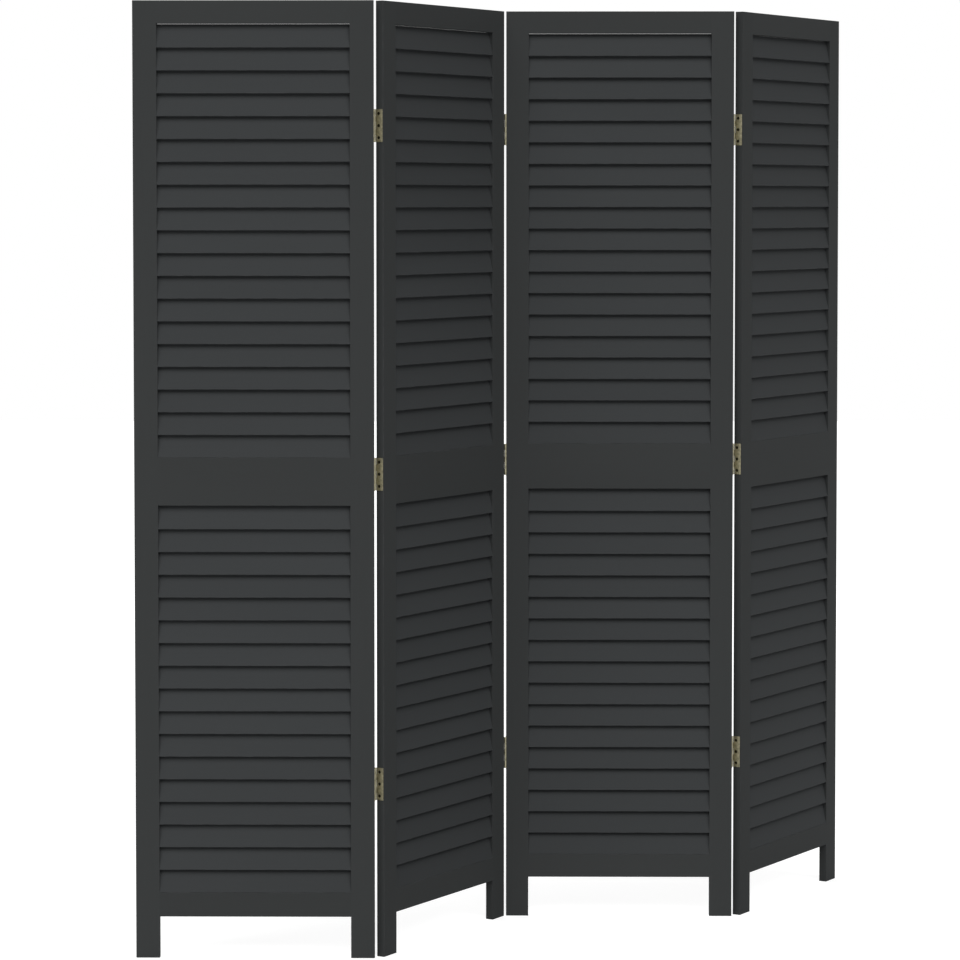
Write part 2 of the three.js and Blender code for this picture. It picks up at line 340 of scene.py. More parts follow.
def painted_wood(name, colour, turn, grain, upright=False):
    material = bpy.data.materials.new(name)
    material.use_nodes = True
    tree = material.node_tree
    shader = tree.nodes["Principled BSDF"]
    rotation = (0, QUARTER_TURN, 0) if upright else (0, 0, -turn)
    place = add_node(tree, "ShaderNodeTexCoord").outputs["Object"]
    along = add_node(tree, "ShaderNodeMapping", {"Vector": place, "Rotation": rotation})
    tone = add_node(tree, "ShaderNodeAttribute", attribute_name=TONE).outputs["Fac"]
    offset = arithmetic(tree, "MULTIPLY", tone, TONE_OFFSET)
    moved = add_node(
        tree, "ShaderNodeVectorMath", {0: along.outputs[0], 1: offset}, operation="ADD"
    )
    vector = moved.outputs[0]
    film = add_node(tree, "ShaderNodeGroup", node_tree=paint_film)
    tree.links.new(vector, film.inputs["Vector"])
    film.inputs["Grain"].default_value = grain
    film.inputs["Peel"].default_value = PEEL_HEIGHT
    rub = add_node(tree, "ShaderNodeGroup", node_tree=edge_rub)
    tree.links.new(vector, rub.inputs["Vector"])
    rub.inputs["Scale"].default_value = PAINT_RUB_PER_METRE
    rub.inputs["Amount"].default_value = PAINT_RUB_AMOUNT
    paint = shaded_paint(tree, colour, film.outputs["Shade"], tone)
    mix = add_node(
        tree,
        "ShaderNodeMix",
        {"Factor": rub.outputs["Mask"], "A": paint, "B": (*RUBBED_PAINT, 1)},
        data_type="RGBA",
    )
    tree.links.new(mix.outputs["Result"], shader.inputs["Base Color"])
    change = arithmetic(tree, "MULTIPLY", film.outputs["Gloss"], GLOSS_STRENGTH)
    roughness = arithmetic(tree, "ADD", change, PAINT_ROUGHNESS)
    tree.links.new(roughness, shader.inputs["Roughness"])
    bump = add_node(
        tree,
        "ShaderNodeBump",
        {"Height": film.outputs["Height"], "Strength": FILM_BUMP, "Distance": FILM_DEPTH},
    )
    tree.links.new(bump.outputs[0], shader.inputs["Normal"])
    shader.inputs["Specular IOR Level"].default_value = PAINT_SPECULAR
    return material


stile_finish = painted_wood("charcoal paint on stiles", FRAME_PAINT, 0, FRAME_GRAIN, upright=True)
rail_finish = {}
slat_finish = {}
for turn in (0.0, FOLD):
    degrees = round(math.degrees(turn))
    rail_name = f"charcoal paint on rails {degrees}"
    slat_name = f"charcoal paint on slats {degrees}"
    rail_finish[turn] = painted_wood(rail_name, FRAME_PAINT, turn, FRAME_GRAIN)
    slat_finish[turn] = painted_wood(slat_name, SLAT_PAINT_WITH_PAINTED_SHEEN, turn, SLAT_GRAIN)
print("painted finishes:", 1 + len(rail_finish) + len(slat_finish))

# %% [markdown]
# ## Aged brass, screws and pins
#
# The leaves are brass that has gone dull: an even olive brown, brighter where it was
# rubbed, with darker clouds of tarnish and fine scratches along its height. The screws
# are much darker than the leaves. Metal has no colour of its own but the colour of
# what it reflects, tinted, so the tint is the base colour and Metallic is one.

# %% Metal finishes
CLOUD_STRETCH = 1.5
CLOUD_STARTS_AT = 0.36
CLOUD_IS_FULL_AT = 0.64
CLOUD_DULLNESS = 0.12
SCRATCH_STRETCH = 30
SCRATCHES_PER_METRE = 4200
SCRATCH_DULLNESS = 0.1
SCRATCH_BUMP = 0.25
SCRATCH_DEPTH = 0.03 * MM
METAL_RUB_PER_METRE = 320
METAL_RUB_AMOUNT = 0.5


def aged_metal(name, bright, dark, roughness, clouds_per_metre):
    material = bpy.data.materials.new(name)
    material.use_nodes = True
    tree = material.node_tree
    shader = tree.nodes["Principled BSDF"]
    place = add_node(tree, "ShaderNodeTexCoord").outputs["Object"]
    upright = add_node(
        tree, "ShaderNodeMapping", {"Vector": place, "Rotation": (0, QUARTER_TURN, 0)}
    ).outputs[0]
    tarnish = stretched_noise(tree, upright, CLOUD_STRETCH, clouds_per_metre, detail=4)
    scratch = stretched_noise(tree, upright, SCRATCH_STRETCH, SCRATCHES_PER_METRE, detail=2)
    rub = add_node(tree, "ShaderNodeGroup", node_tree=edge_rub)
    tree.links.new(upright, rub.inputs["Vector"])
    rub.inputs["Scale"].default_value = METAL_RUB_PER_METRE
    rub.inputs["Amount"].default_value = METAL_RUB_AMOUNT
    cloud = add_node(
        tree,
        "ShaderNodeMapRange",
        {"Value": tarnish, "From Min": CLOUD_STARTS_AT, "From Max": CLOUD_IS_FULL_AT},
    ).outputs[0]
    not_rubbed = arithmetic(tree, "SUBTRACT", 1.0, rub.outputs["Mask"])
    darkness = arithmetic(tree, "MULTIPLY", cloud, not_rubbed)
    colour = add_node(
        tree,
        "ShaderNodeMix",
        {"Factor": darkness, "A": (*bright, 1), "B": (*dark, 1)},
        data_type="RGBA",
    )
    tree.links.new(colour.outputs["Result"], shader.inputs["Base Color"])
    cloud_dullness = arithmetic(tree, "MULTIPLY", cloud, CLOUD_DULLNESS)
    scratch_dullness = arithmetic(tree, "MULTIPLY", scratch, SCRATCH_DULLNESS)
    dullness = arithmetic(tree, "ADD", cloud_dullness, scratch_dullness)
    tree.links.new(arithmetic(tree, "ADD", dullness, roughness), shader.inputs["Roughness"])
    bump = add_node(
        tree,
        "ShaderNodeBump",
        {"Height": scratch, "Strength": SCRATCH_BUMP, "Distance": SCRATCH_DEPTH},
    )
    tree.links.new(bump.outputs[0], shader.inputs["Normal"])
    shader.inputs["Metallic"].default_value = 1.0
    return material


brass_finish = aged_metal(
    "aged brass",
    bright=(0.37, 0.345, 0.245),
    dark=(0.22, 0.205, 0.14),
    roughness=0.36,
    clouds_per_metre=260,
)
# The screws are given a colour far darker than the brass of the leaves.
screw_finish = aged_metal(
    "dark screws",
    bright=(0.030, 0.026, 0.016),
    dark=(0.012, 0.010, 0.006),
    roughness=0.45,
    clouds_per_metre=900,
)
pin_finish = aged_metal(
    "plated steel pin",
    bright=(0.27, 0.24, 0.17),
    dark=(0.13, 0.115, 0.08),
    roughness=0.3,
    clouds_per_metre=500,
)
print("metal finishes:", brass_finish.name, screw_finish.name, pin_finish.name, sep=" | ")

# %% [markdown]
# ## Helpers for boards
#
# A board is a block with cuts: mortises, grooves and the seats of the hinge leaves. The
# frame already holds each board with its cuts, as a shell of loose triangles. So a
# board starts as a copy of it: the corners are merged, flat areas become single faces,
# and the long edges are eased with a bevel. Modelling each cut again would give the
# same shape with more chances to miss a fit.
#
# The bevel has to be told which edges it takes. An edge of a board lies on a line where
# two of its three coordinates are fixed, so it's found by naming those two.

# %% Helpers that copy, find and ease
FLAT_ANGLE = math.radians(1)
TONE_SEED = 11

random_tone = random.Random(TONE_SEED)


def mark_layers(bm):
    for name in (EASED, TONE):
        if bm.faces.layers.float.get(name) is None:
            bm.faces.layers.float.new(name)


def set_tone(bm, faces):
    """Gives these faces one number that sets their board apart from the others."""
    tone = random_tone.uniform(-1, 1)
    layer = bm.faces.layers.float[TONE]
    for face in faces:
        face[layer] = tone


def welded_copy(node, place):
    """A copy of a plain solid, in its panel's own directions, with whole flat faces."""
    bm = bmesh.new()
    bm.from_mesh(frame["nodes"][node].data)
    bmesh.ops.transform(bm, matrix=place.inverted(), verts=bm.verts)
    bmesh.ops.remove_doubles(bm, verts=bm.verts, dist=WELD)
    bmesh.ops.dissolve_limit(
        bm,
        angle_limit=FLAT_ANGLE,
        verts=bm.verts,
        edges=bm.edges,
        use_dissolve_boundaries=False,
    )
    mark_layers(bm)
    return bm


def edges_on(bm, **fixed):
    """The edges on the line where two coordinates have these values."""
    wanted = [("xyz".index(axis), value) for axis, value in fixed.items()]

    def is_on_line(vert):
        return all(abs(vert.co[axis] - value) < TOUCH for axis, value in wanted)

    return [edge for edge in bm.edges if all(is_on_line(vert) for vert in edge.verts)]


def ease(bm, edges, radius, segments=3):
    """Rounds the edges and marks the new faces, so that a finish knows them."""
    rounded = bmesh.ops.bevel(
        bm,
        geom=edges,
        offset=radius,
        offset_type="OFFSET",
        affect="EDGES",
        segments=segments,
        profile=0.5,
        material=-1,
        clamp_overlap=True,
    )
    layer = bm.faces.layers.float[EASED]
    for face in rounded["faces"]:
        face[layer] = 1.0


def whole(bm):
    return bm.verts[:] + bm.edges[:] + bm.faces[:]


def only(kind, geometry):
    """The vertices, the edges or the faces among what an operator gave back."""
    return [item for item in geometry if isinstance(item, kind)]


# %% [markdown]
# A finished piece is a mesh whose object sits at the origin. Its place is in the mesh,
# it rides on the body of its panel, and it stands for the plain solids that it covers.

# %% A helper that hands a piece over
made_pieces = []


def as_mesh(bm, name):
    mesh = bpy.data.meshes.new(name)
    bm.to_mesh(mesh)
    bm.free()
    return mesh


def hand_over(bm, name, place, body, finish, nodes=()):
    bmesh.ops.transform(bm, matrix=place, verts=bm.verts)
    bmesh.ops.recalc_face_normals(bm, faces=bm.faces)
    mesh = as_mesh(bm, name)
    mesh.materials.append(finish)
    piece = bpy.data.objects.new(name, mesh)
    scene.collection.objects.link(piece)
    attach(piece, body)
    if nodes:
        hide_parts(*nodes)
    made_pieces.append(piece)
    return piece


# %% [markdown]
# ## Stiles
#
# The stiles are the two uprights of a panel, and their lower ends are its feet. Their
# outer edges are eased all the way. Their inner edges are eased only where they are
# free, beside the slats and at the feet, because a rail meets the rest of the edge
# flush and paint hides the joint. So each stile is first divided at the heights of its
# rails, which gives every stretch of the edge its own line.

# %% Stiles
EASE_RADIUS = 0.5 * MM


def beside_a_rail(edge):
    middle = (edge.verts[0].co.z + edge.verts[1].co.z) / 2
    return any(bottom < middle < top for bottom, top in rail_spans.values())


def divide_at(bm, height):
    bmesh.ops.bisect_plane(
        bm, geom=whole(bm), dist=TOUCH, plane_co=(0, 0, height), plane_no=(0, 0, 1)
    )


def stile_board(panel, side):
    outer = 0.0 if side == "left" else PANEL_WIDTH
    inner = STILE_WIDTH if side == "left" else PANEL_WIDTH - STILE_WIDTH
    bm = welded_copy(f"panel_{panel}_{side}_stile", places[panel])
    for bottom, top in field_spans.values():
        divide_at(bm, bottom)
        divide_at(bm, top)
    divide_at(bm, rail_spans["bottom"][0])
    edges = edges_on(bm, x=outer, z=0) + edges_on(bm, x=inner, z=0)
    edges += edges_on(bm, x=outer, z=HEIGHT)
    for face in (0.0, THICKNESS):
        edges += edges_on(bm, x=outer, y=face)
        edges += edges_on(bm, y=face, z=0) + edges_on(bm, y=face, z=HEIGHT)
        edges += [edge for edge in edges_on(bm, x=inner, y=face) if not beside_a_rail(edge)]
    ease(bm, edges, EASE_RADIUS)
    bmesh.ops.dissolve_degenerate(bm, dist=WELD, edges=bm.edges)
    set_tone(bm, bm.faces)
    return bm


for panel in PANELS:
    for side in SIDES:
        node = f"panel_{panel}_{side}_stile"
        hand_over(
            stile_board(panel, side),
            f"{node}_board",
            places[panel],
            f"panel_{panel}",
            stile_finish,
            [node],
        )
print("stiles:", len(made_pieces))

# %% [markdown]
# ## Rails
#
# Three rails cross each panel: a narrow one at the top, a high one in the middle and a
# narrow one above the feet. Their tenons go into the mortises of the stiles. The plain
# solids leave a little play at the shoulders. A glued joint has none, and the painted
# screen shows no line there, so the shoulders move out until they all but touch.

# %% Rails
PLAY = 0.3 * MM
HAIR = 0.02 * MM


def rail_board(panel, rail):
    bottom, top = rail_spans[rail]
    bm = welded_copy(f"panel_{panel}_{rail}_rail", places[panel])
    left_shoulder = STILE_WIDTH + PLAY
    right_shoulder = PANEL_WIDTH - STILE_WIDTH - PLAY
    for shoulder, outward in ((left_shoulder, -1), (right_shoulder, 1)):
        corners = [vert for vert in bm.verts if abs(vert.co.x - shoulder) < TOUCH]
        bmesh.ops.translate(bm, verts=corners, vec=(outward * (PLAY - HAIR), 0, 0))
    edges = []
    for face in (0.0, THICKNESS):
        edges += edges_on(bm, y=face, z=bottom) + edges_on(bm, y=face, z=top)
    ease(bm, edges, EASE_RADIUS)
    set_tone(bm, bm.faces)
    return bm


for panel in PANELS:
    for rail in RAILS:
        node = f"panel_{panel}_{rail}_rail"
        hand_over(
            rail_board(panel, rail),
            f"{node}_board",
            places[panel],
            f"panel_{panel}",
            rail_finish[turn_of(panel)],
            [node],
        )
print("stiles and rails:", len(made_pieces))

# %% [markdown]
# ## Slats
#
# A slat is a thin board as long as the opening is wide. It slants so that it just
# fills the thickness of the panel, with its lower edge in front and its upper edge
# behind the next slat. Its corners are softer than those of the frame, because thin
# slats are run through a moulder. The slats are divided evenly over the field: the
# lowest sits on the rail, and the highest leaves a fine slit under the rail above, where
# a hairline of daylight comes through.
#
# One slat is modelled and duplicated up the field. An array modifier would do this
# too, but each slat here also gets its own tone.

# %% The shape of a slat
SLAT_WIDTH = 42.5 * MM
SLAT_THICKNESS = 5.5 * MM
SLAT_SPACING = 40.4 * MM
SLAT_SET_BACK = 0.4 * MM
SLAT_EDGE_RADIUS = 0.9 * MM
TOP_SLIT = 0.3 * MM

slat_diagonal = math.hypot(SLAT_WIDTH, SLAT_THICKNESS)
slat_lean = math.asin((THICKNESS - 2 * SLAT_SET_BACK) / slat_diagonal)
slat_tilt = slat_lean - math.atan2(SLAT_THICKNESS, SLAT_WIDTH)
slat_rise = SLAT_WIDTH * math.cos(slat_tilt)
slat_length = PANEL_WIDTH - 2 * STILE_WIDTH - 2 * HAIR
print("tilt of a slat in degrees:", round(math.degrees(slat_tilt), 2))


def add_block(bm, low, high):
    """A block between two corners. Returns its vertices."""
    made = bmesh.ops.create_cube(bm, size=1.0)["verts"]
    size = Vector(high) - Vector(low)
    bmesh.ops.scale(bm, vec=size, verts=made)
    bmesh.ops.translate(bm, vec=Vector(low) + size / 2, verts=made)
    return made


def add_slat(bm):
    """One slat whose lower front edge lies on the line y = 0, z = 0, before it's set up."""
    left = STILE_WIDTH + HAIR
    add_block(bm, (left, 0, 0), (left + slat_length, SLAT_THICKNESS, SLAT_WIDTH))
    edges = []
    for face in (0.0, SLAT_THICKNESS):
        edges += edges_on(bm, y=face, z=0.0) + edges_on(bm, y=face, z=SLAT_WIDTH)
    ease(bm, edges, SLAT_EDGE_RADIUS)
    lean = Matrix.Translation((0, SLAT_SET_BACK, 0)) @ Matrix.Rotation(-slat_tilt, 4, "X")
    bmesh.ops.transform(bm, matrix=lean, verts=bm.verts)


# %% [markdown]
# The lowest slat would dip into the rail with its back corner, so it's planed level: a
# bisect cuts it off and the opening is closed again. At both ends the slats are let
# into a strip that fills a groove in the stile. The strip lies flush with the edge of
# the stile.

# %% Fields of slats
GROOVE_WIDTH = 8 * MM
GROOVE_DEPTH = 4 * MM


def slat_heights(field):
    bottom, top = field_spans[field]
    lowest = bottom + PLAY
    travel = top - TOP_SLIT - slat_rise - lowest
    steps = round(travel / SLAT_SPACING)
    return [lowest + step * travel / steps for step in range(steps + 1)]


def plane_level(bm, height):
    cut = bmesh.ops.bisect_plane(
        bm,
        geom=whole(bm),
        dist=TOUCH,
        plane_co=(0, 0, height),
        plane_no=(0, 0, -1),
        clear_outer=True,
    )
    bmesh.ops.edgeloop_fill(bm, edges=only(BMEdge, cut["geom_cut"]))


def end_strips(bm, field):
    bottom, top = field_spans[field]
    front = (THICKNESS - GROOVE_WIDTH) / 2 + HAIR
    back = THICKNESS - front
    for outer, inner in (
        (STILE_WIDTH - GROOVE_DEPTH + PLAY, STILE_WIDTH),
        (PANEL_WIDTH - STILE_WIDTH + GROOVE_DEPTH - PLAY, PANEL_WIDTH - STILE_WIDTH),
    ):
        low = (min(outer, inner), front, bottom + HAIR)
        high = (max(outer, inner), back, top - HAIR)
        add_block(bm, low, high)


def field_of_slats(field):
    bm = bmesh.new()
    mark_layers(bm)
    add_slat(bm)
    pattern = whole(bm)
    heights = slat_heights(field)
    for height in heights[1:]:
        copy = bmesh.ops.duplicate(bm, geom=pattern)["geom"]
        bmesh.ops.translate(bm, vec=(0, 0, height), verts=only(BMVert, copy))
        set_tone(bm, only(BMFace, copy))
    lowest = heights[0] - PLAY + HAIR
    bmesh.ops.translate(bm, vec=(0, 0, lowest), verts=only(BMVert, pattern))
    set_tone(bm, only(BMFace, pattern))
    plane_level(bm, field_spans[field][0] + HAIR)
    end_strips(bm, field)
    return bm


for panel in PANELS:
    for field in field_spans:
        hand_over(
            field_of_slats(field),
            f"panel_{panel}_{field}_slats",
            places[panel],
            f"panel_{panel}",
            slat_finish[turn_of(panel)],
            [f"panel_{panel}_{field}_louvres"],
        )
print("slats in a field:", {field: len(slat_heights(field)) for field in field_spans})

# %% [markdown]
# ## Hinge leaves
#
# A butt hinge is two leaves and a pin. A leaf is stamped from brass sheet: a plate with
# three countersunk screw holes, and tongues on one side that are rolled round the pin.
# The rolled tongues are the knuckles. One leaf has three of them, the other the two
# that fit between, so five together carry the pin.
#
# The leaf is made in the order in which it's made in brass. An outline and three
# circles are filled to a flat sheet with holes, the sheet is extruded to its
# thickness, and each tongue is then extruded and spun round the line of the pin. The
# leaf is drawn with the pin on the Z axis, for the edge on its left with the pin
# behind. Turned half round about X, Y or Z it fits the other places.

# %% Sizes of a hinge
LEAF_THICKNESS = 1.2 * MM
LEAF_MARGIN = 1.0 * MM
GAIN_DEPTH = 0.6 * MM
LEAF_SPACING = 0.6 * MM
KNUCKLE_COUNT = 5
KNUCKLE_WALL = 0.7 * MM
KNUCKLE_CLEARANCE = 0.6 * MM
PIN_RADIUS = 1.1 * MM
SCREW_HOLE_RADIUS = 1.8 * MM
SCREW_END_MARGIN = 7.6 * MM
SCREW_ROW_OFFSET = 6.0 * MM
SCREWS_UP_A_LEAF = (-1, 0, 1)

hinge_height = size_of("hinge_1_2_top_pin").z
leaf_proud = LEAF_THICKNESS + PLAY - GAIN_DEPTH
edge_gap = 2 * leaf_proud + LEAF_SPACING
bore_radius = PIN_RADIUS + PLAY
knuckle_radius = bore_radius + KNUCKLE_WALL
seat_depth = edge_gap / 2 + GAIN_DEPTH
pin_stand_off = math.sqrt((knuckle_radius + KNUCKLE_CLEARANCE) ** 2 - seat_depth**2)
knuckle_length = (hinge_height - (KNUCKLE_COUNT - 1) * PLAY) / KNUCKLE_COUNT
plate_back = -(seat_depth - PLAY)
plate_front = plate_back + LEAF_THICKNESS
plate_far = -(pin_stand_off + THICKNESS - LEAF_MARGIN)
plate_near = -(knuckle_radius + PLAY)
screw_row = -(pin_stand_off + SCREW_ROW_OFFSET)
screw_step = hinge_height / 2 - SCREW_END_MARGIN
print("hinge height in millimetres:", round(hinge_height / MM, 1))

# %% The plate of a leaf
PLATE_CORNER_RADIUS = 0.9 * MM
COUNTERSINK_WIDTH = 1.1 * MM
HOLE_SEGMENTS = 32


def knuckle_span(index):
    low = -hinge_height / 2 + index * (knuckle_length + PLAY)
    return low, low + knuckle_length


def add_outline(bm):
    """The rectangle of the plate, with its two far corners rounded, as bare edges."""
    half = hinge_height / 2
    corners = [(plate_near, -half), (plate_near, half), (plate_far, half), (plate_far, -half)]
    verts = [bm.verts.new((plate_back, along, up)) for along, up in corners]
    bm.faces.new(verts)
    bmesh.ops.bevel(
        bm,
        geom=verts[2:],
        offset=PLATE_CORNER_RADIUS,
        offset_type="OFFSET",
        affect="VERTICES",
        segments=4,
        profile=0.5,
        material=-1,
    )
    bmesh.ops.delete(bm, geom=bm.faces[:], context="FACES_ONLY")


def screw_centre(number, depth):
    """The centre of a screw at a depth across the leaf. The number counts from the middle."""
    return Vector((depth, screw_row, number * screw_step))


def add_plate(bm):
    add_outline(bm)
    for number in SCREWS_UP_A_LEAF:
        place = Matrix.Translation(screw_centre(number, plate_back))
        bmesh.ops.create_circle(
            bm,
            cap_ends=False,
            segments=HOLE_SEGMENTS,
            radius=SCREW_HOLE_RADIUS,
            matrix=place @ Matrix.Rotation(QUARTER_TURN, 4, "Y"),
        )
    bmesh.ops.triangle_fill(
        bm, edges=bm.edges[:], use_beauty=True, use_dissolve=False, normal=(1, 0, 0)
    )
    sheet = bmesh.ops.extrude_face_region(bm, geom=bm.faces[:], use_keep_orig=True)["geom"]
    bmesh.ops.translate(bm, vec=(LEAF_THICKNESS, 0, 0), verts=only(BMVert, sheet))


def countersink(bm):
    """Widens the front rims of the screw holes, so that each hole is a cone for a head."""
    wider = 1 + COUNTERSINK_WIDTH / SCREW_HOLE_RADIUS
    reach = SCREW_HOLE_RADIUS + TOUCH
    for number in SCREWS_UP_A_LEAF:
        centre = screw_centre(number, plate_front)
        rim = [vert for vert in bm.verts if (vert.co - centre).length < reach]
        bmesh.ops.scale(bm, vec=(1, wider, wider), space=Matrix.Translation(-centre), verts=rim)


# %% [markdown]
# Rolling a tongue takes three moves. Its end face is first pushed out and thinned, so
# that it meets the wall of the knuckle, and then spun round the pin. The roll stops
# just short of the plate, which leaves the fine slit that every rolled knuckle has.

# %% The knuckles
ROLL_ANGLE = math.radians(278)
ROLL_STEPS = 22
SQUARE_ENOUGH = 0.9


def tongue_face(bm, span):
    """The part of the plate's near face between two heights."""
    bottom, top = span
    for face in bm.faces:
        middle = face.calc_center_median()
        is_near = abs(middle.y - plate_near) < TOUCH
        looks_at_pin = abs(face.normal.y) > SQUARE_ENOUGH
        if is_near and looks_at_pin and bottom < middle.z < top:
            return face
    raise ValueError("the plate has no face between these heights")


def push_out(bm, face, inner, outer, along):
    """Extrudes the end of a tongue to y = along, between the depths outer and inner."""
    pushed = bmesh.ops.extrude_face_region(bm, geom=[face])["geom"]
    bmesh.ops.delete(bm, geom=[face], context="FACES_ONLY")
    end = only(BMFace, pushed)[0]
    for vert in end.verts:
        is_inner = vert.co.x > (plate_back + plate_front) / 2
        vert.co.x = inner if is_inner else outer
        vert.co.y = along
    return end


def roll_tongue(bm, span):
    face = tongue_face(bm, span)
    middle_inner = (plate_front - bore_radius) / 2
    middle_outer = (plate_back - knuckle_radius) / 2
    face = push_out(bm, face, middle_inner, middle_outer, plate_near / 2)
    face = push_out(bm, face, -bore_radius, -knuckle_radius, 0.0)
    bmesh.ops.spin(
        bm,
        geom=[face],
        cent=(0, 0, 0),
        axis=(0, 0, 1),
        dvec=(0, 0, 0),
        angle=-ROLL_ANGLE,
        steps=ROLL_STEPS,
        use_merge=False,
        use_duplicate=False,
    )
    bmesh.ops.delete(bm, geom=[face], context="FACES_ONLY")


def leaf_mesh(own_knuckles):
    bm = bmesh.new()
    mark_layers(bm)
    add_plate(bm)
    countersink(bm)
    bmesh.ops.recalc_face_normals(bm, faces=bm.faces)
    for index in own_knuckles:
        for height in knuckle_span(index):
            divide_at(bm, height)
    bm.normal_update()
    for index in own_knuckles:
        roll_tongue(bm, knuckle_span(index))
    bmesh.ops.recalc_face_normals(bm, faces=bm.faces)
    return as_mesh(bm, "leaf pattern")


leaf_patterns = {"left": leaf_mesh((0, 2, 4)), "right": leaf_mesh((1, 3))}
print("faces of a leaf:", {side: len(mesh.polygons) for side, mesh in leaf_patterns.items()})

# %% [markdown]
# ## Screws and pins
#
# A countersunk wood screw shows only its flat head, with a cross for the driver. The
# cross is a grid of nine faces that loses its four corners. The ring between the
# cross and the rim of the head is filled, the cross is pushed in, and the rim is drawn
# down to the cone and the shank. The shank sits in the solid wood of the stile.

# %% The shape of a screw
HEAD_SINK = 0.08 * MM
HEAD_RADIUS = SCREW_HOLE_RADIUS + COUNTERSINK_WIDTH * (1 - HEAD_SINK / LEAF_THICKNESS) - HAIR
SHANK_RADIUS = 1.35 * MM
SHANK_LENGTH = 11 * MM
TIP_RADIUS = 0.1 * SHANK_RADIUS
TIP_LENGTH = 2.5 * MM
CROSS_REACH = 1.6 * MM
CROSS_WIDTH = 0.7 * MM
CROSS_DEPTH = 0.7 * MM
CROSS_TAPER = 0.55
HEAD_SEGMENTS = 32


def add_cross(bm):
    """A flat cross of five faces in the plane z = 0. Returns its faces."""
    bmesh.ops.create_grid(bm, x_segments=3, y_segments=3, size=CROSS_REACH)
    corners = [vert for vert in bm.verts if len(vert.link_faces) == 1]
    bmesh.ops.delete(bm, geom=corners, context="VERTS")
    for vert in bm.verts:
        for axis in (0, 1):
            if abs(vert.co[axis]) < CROSS_REACH / 2:
                vert.co[axis] = math.copysign(CROSS_WIDTH / 2, vert.co[axis])
    return bm.faces[:]


def draw_down(bm, rim, radius, depth):
    """Extrudes an open ring of edges to another radius and depth. Returns the new ring."""
    drawn = bmesh.ops.extrude_edge_only(bm, edges=rim)["geom"]
    for vert in only(BMVert, drawn):
        flat = Vector((vert.co.x, vert.co.y)).normalized() * radius
        vert.co = (flat.x, flat.y, depth)
    return only(BMEdge, drawn)


def screw_mesh():
    bm = bmesh.new()
    mark_layers(bm)
    cross = add_cross(bm)
    outline = [edge for edge in bm.edges if edge.is_boundary]
    head = bmesh.ops.create_circle(
        bm, cap_ends=False, segments=HEAD_SEGMENTS, radius=HEAD_RADIUS
    )
    rim = list({edge for vert in head["verts"] for edge in vert.link_edges})
    bmesh.ops.triangle_fill(
        bm, edges=outline + rim, use_beauty=True, use_dissolve=False, normal=(0, 0, 1)
    )
    pushed = bmesh.ops.extrude_face_region(bm, geom=cross)["geom"]
    floor_verts = only(BMVert, pushed)
    bmesh.ops.scale(bm, vec=(CROSS_TAPER, CROSS_TAPER, 1), verts=floor_verts)
    bmesh.ops.translate(bm, vec=(0, 0, -CROSS_DEPTH), verts=floor_verts)
    bmesh.ops.delete(bm, geom=cross, context="FACES")
    rim = [edge for edge in bm.edges if edge.is_boundary]
    rim = draw_down(bm, rim, SHANK_RADIUS, -(HEAD_RADIUS - SHANK_RADIUS))
    rim = draw_down(bm, rim, SHANK_RADIUS, -SHANK_LENGTH)
    rim = draw_down(bm, rim, TIP_RADIUS, -(SHANK_LENGTH + TIP_LENGTH))
    bmesh.ops.edgeloop_fill(bm, edges=rim)
    bmesh.ops.recalc_face_normals(bm, faces=bm.faces)
    return as_mesh(bm, "screw pattern")


screw_pattern = screw_mesh()
print("faces of a screw:", len(screw_pattern.polygons))

# %% [markdown]
# The pin is a turned rod that fills its bore. Its ends are rounded over, and they are
# all that shows of it.

# %% The shape of a pin
PIN_SEGMENTS = 28
PIN_END_RADIUS = 0.55 * MM


def pin_mesh():
    bm = bmesh.new()
    mark_layers(bm)
    radius = bore_radius - HAIR
    bmesh.ops.create_cone(
        bm,
        cap_ends=True,
        segments=PIN_SEGMENTS,
        radius1=radius,
        radius2=radius,
        depth=hinge_height,
    )
    ends = [edge for edge in bm.edges if abs(edge.verts[0].co.z - edge.verts[1].co.z) < TOUCH]
    ease(bm, ends, PIN_END_RADIUS)
    return as_mesh(bm, "pin pattern")


pin_pattern = pin_mesh()
print("faces of a pin:", len(pin_pattern.polygons))

# %% [markdown]
# ## Fitting the hinges
#
# Each joint has three hinges. The pins are behind at the first and third joints and in
# front at the second, so that the panels fold up one way and then the other. The left
# leaf and the pin belong to the panel on the left, the right leaf to the panel on the
# right. A matrix takes each pattern from the line of its pin to its stile.

# %% Hinges
HINGES = ("top", "middle", "bottom")
SHARP_ANGLE = math.radians(32)
TURN_SEED = 29


def pins_behind(joint):
    return joint % 2 == 1


def hinge_place(joint, hinge, side):
    low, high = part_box(f"hinge_{joint}_{joint + 1}_{hinge}_pin")
    panel = joint if side == "left" else joint + 1
    place = Matrix.Translation((low + high) / 2) @ Matrix.Rotation(turn_of(panel), 4, "Z")
    if side == "left":
        return place if pins_behind(joint) else place @ Matrix.Rotation(HALF_TURN, 4, "X")
    return place @ Matrix.Rotation(HALF_TURN, 4, "Y" if pins_behind(joint) else "Z")


def smooth_round_faces(piece):
    """Shades curved faces smooth and keeps sharp corners sharp."""
    piece.data.shade_smooth()
    piece.data.set_sharp_from_angle(angle=SHARP_ANGLE)


def screws_for(turns):
    """The three screws of a leaf, their crosses turned as a driver left them."""
    bm = bmesh.new()
    for number, turn in zip(SCREWS_UP_A_LEAF, turns):
        before = set(bm.verts)
        bm.from_mesh(screw_pattern)
        place = Matrix.Translation(screw_centre(number, plate_front - HEAD_SINK))
        place = place @ Matrix.Rotation(QUARTER_TURN, 4, "Y") @ Matrix.Rotation(turn, 4, "Z")
        added = [vert for vert in bm.verts if vert not in before]
        bmesh.ops.transform(bm, matrix=place, verts=added)
    return bm


def copy_of(pattern):
    bm = bmesh.new()
    bm.from_mesh(pattern)
    return bm


